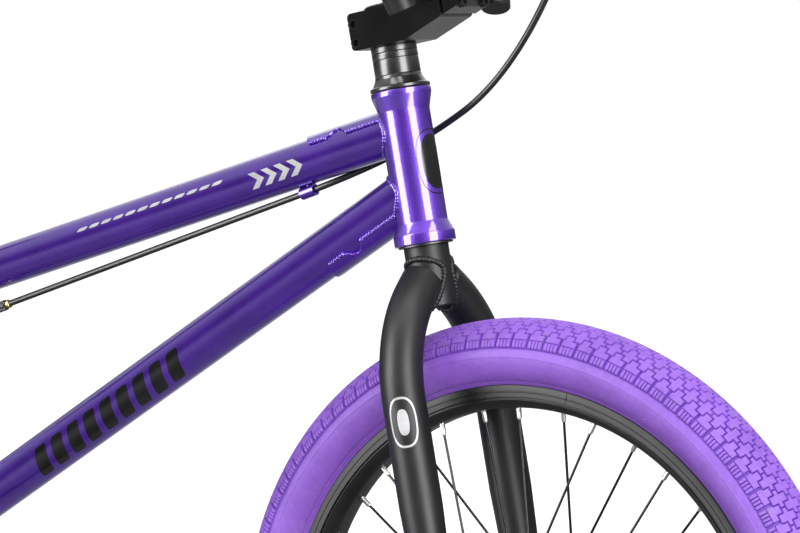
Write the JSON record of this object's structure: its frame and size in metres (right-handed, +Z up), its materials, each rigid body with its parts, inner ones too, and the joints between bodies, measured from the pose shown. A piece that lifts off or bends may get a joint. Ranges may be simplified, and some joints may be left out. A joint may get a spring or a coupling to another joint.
{
  "type": "bmx bicycle",
  "caption": "Complete BMX bicycle: gusseted violet frame, black fork and high-rise bars, coloured knobbly tyres, geared crank drive, low saddle and a cable rear brake.",
  "frame": {"origin": "on the ground, midway between the ends of the bicycle's overall box and in its middle plane", "axes": "+X forward, +Y to the rider's left, +Z up"},
  "size_m": [1.452, 0.7336, 0.9766],
  "materials": {
    "frame_paint": "gloss metallic flake",
    "fork_paint": "satin",
    "bar_paint": "satin",
    "crank_paint": "satin",
    "black_alloy": "satin anodised",
    "stem_alloy": "satin anodised",
    "black_steel": "black oxide",
    "bright_steel": "ground",
    "gloss_black": "gloss",
    "black_plastic": "matte",
    "cable_housing": "gloss",
    "brass_and_black": "polished",
    "grip_rubber": "matte",
    "tyre_rubber": "matte coloured",
    "tube_rubber": "matte",
    "black_spoke": "black",
    "bright_nipple": "nickel plated",
    "saddle_fabric": "woven"
  },
  "bodies": {
    "frame": {"head_tube": "frame_paint", "top_tube": "frame_paint", "down_tube": "frame_paint", "head_gussets": "frame_paint", "seat_tube": "frame_paint", "bottom_bracket_shell": "frame_paint", "chain_stays": "frame_paint", "seat_stays": "frame_paint", "rear_dropouts": "frame_paint", "cable_guides": "frame_paint", "frame_bearings": "bright_steel", "seat_clamp": "black_alloy", "rear_axle_set": "black_steel", "brake_cable": "cable_housing", "cable_adjuster": "brass_and_black", "chain_inner_links": "black_steel", "chain_outer_links": "black_steel", "brake_studs": "bright_steel"},
    "fork_and_handlebar": {"fork_steerer": "fork_paint", "fork_legs": "fork_paint", "fork_dropouts": "fork_paint", "headset_races": "bright_steel", "headset_cover": "gloss_black", "headset_spacers": "gloss_black", "stem": "stem_alloy", "stem_faceplate": "stem_alloy", "stem_hardware": "black_steel", "handlebar_clamp_tube": "bar_paint", "handlebar_risers": "bar_paint", "handlebar_crossbar": "bar_paint", "grips": "grip_rubber", "bar_end_plugs": "black_plastic", "brake_lever_bracket": "black_alloy", "front_axle_set": "black_steel", "brake_cable_loop": "cable_housing"},
    "brake_lever": {"brake_lever": "black_alloy"},
    "front_wheel": {"front_tyre": "tyre_rubber", "front_inner_tube": "tube_rubber", "front_rim": "black_alloy", "front_spokes": "black_spoke", "front_nipples": "bright_nipple", "front_hub": "black_alloy"},
    "rear_wheel": {"rear_tyre": "tyre_rubber", "rear_inner_tube": "tube_rubber", "rear_rim": "black_alloy", "rear_spokes": "black_spoke", "rear_nipples": "bright_nipple", "rear_hub": "black_alloy"},
    "rear_driver": {"rear_driver": "black_steel"},
    "crankset": {"crank_arms": "crank_paint", "crank_spindle": "black_steel", "chainring": "black_alloy", "pedal_axles": "bright_steel"},
    "pedal_left": {"pedal_left": "black_plastic"},
    "pedal_right": {"pedal_right": "black_plastic"},
    "seat_post": {"seat_post": "black_alloy"},
    "saddle": {"saddle_cushion": "saddle_fabric", "saddle_base": "black_plastic"},
    "brake_arm_left": {"brake_arm_left": "black_alloy"},
    "brake_arm_right": {"brake_arm_right": "black_alloy"}
  },
  "joints": [
    {"name": "steering", "type": "hinge", "parent": "frame", "child": "fork_and_handlebar", "pos_m": [0.3728, 0, 0.56423], "axis": [-0.1925, 0, 0.9813], "range_deg": [-90, 90], "deforming": ["brake_cable_loop"]},
    {"name": "front_wheel_spin", "type": "hinge", "parent": "fork_and_handlebar", "child": "front_wheel", "pos_m": [0.469, 0, 0.257], "axis": [0, 1, 0], "continuous": true},
    {"name": "rear_wheel_spin", "type": "hinge", "parent": "frame", "child": "rear_wheel", "pos_m": [-0.469, 0, 0.257], "axis": [0, 1, 0], "continuous": true},
    {"name": "crank_spin", "type": "hinge", "parent": "frame", "child": "crankset", "pos_m": [-0.1238, 0, 0.296], "axis": [0, 1, 0], "continuous": true, "deforming": ["chain_inner_links", "chain_outer_links"]},
    {"name": "rear_driver_spin", "type": "hinge", "parent": "frame", "child": "rear_driver", "pos_m": [-0.469, 0, 0.257], "axis": [0, 1, 0], "continuous": true},
    {"name": "pedal_left_spin", "type": "hinge", "parent": "crankset", "child": "pedal_left", "pos_m": [-0.27787, 0.13, 0.36784], "axis": [0, 1, 0], "continuous": true},
    {"name": "pedal_right_spin", "type": "hinge", "parent": "crankset", "child": "pedal_right", "pos_m": [0.03028, -0.13, 0.22415], "axis": [0, 1, 0], "continuous": true},
    {"name": "brake_lever_pull", "type": "hinge", "parent": "fork_and_handlebar", "child": "brake_lever", "pos_m": [0.34684, -0.2169, 0.94789], "axis": [0.2902, -0.0615, 0.955], "range_deg": [-17, 0], "stiffness_Nm_per_rad": 1.2, "springref_deg": 34.38},
    {"name": "brake_arm_left_swing", "type": "hinge", "parent": "frame", "child": "brake_arm_left", "pos_m": [-0.34152, 0.041, 0.38316], "axis": [-0.6109, 0, 0.7917], "range_deg": [-3.9, 0.1]},
    {"name": "brake_arm_right_swing", "type": "hinge", "parent": "frame", "child": "brake_arm_right", "pos_m": [-0.34152, -0.041, 0.38316], "axis": [-0.6109, 0, 0.7917], "range_deg": [-0.1, 3.9]},
    {"name": "seat_height", "type": "slide", "parent": "frame", "child": "seat_post", "axis": [-0.3256, 0, 0.9455], "range_m": [-0.03, 0.06]},
    {"name": "saddle_tilt", "type": "hinge", "parent": "seat_post", "child": "saddle", "pos_m": [-0.22374, 0, 0.58627], "axis": [0, 1, 0], "range_deg": [-10, 10]}
  ],
  "couplings": [
    {"joint": "rear_driver_spin", "follows": "crank_spin", "ratio": 2.8},
    {"joint": "brake_arm_left_swing", "follows": "brake_lever_pull", "ratio": 0.225},
    {"joint": "brake_arm_right_swing", "follows": "brake_lever_pull", "ratio": -0.225}
  ]
}
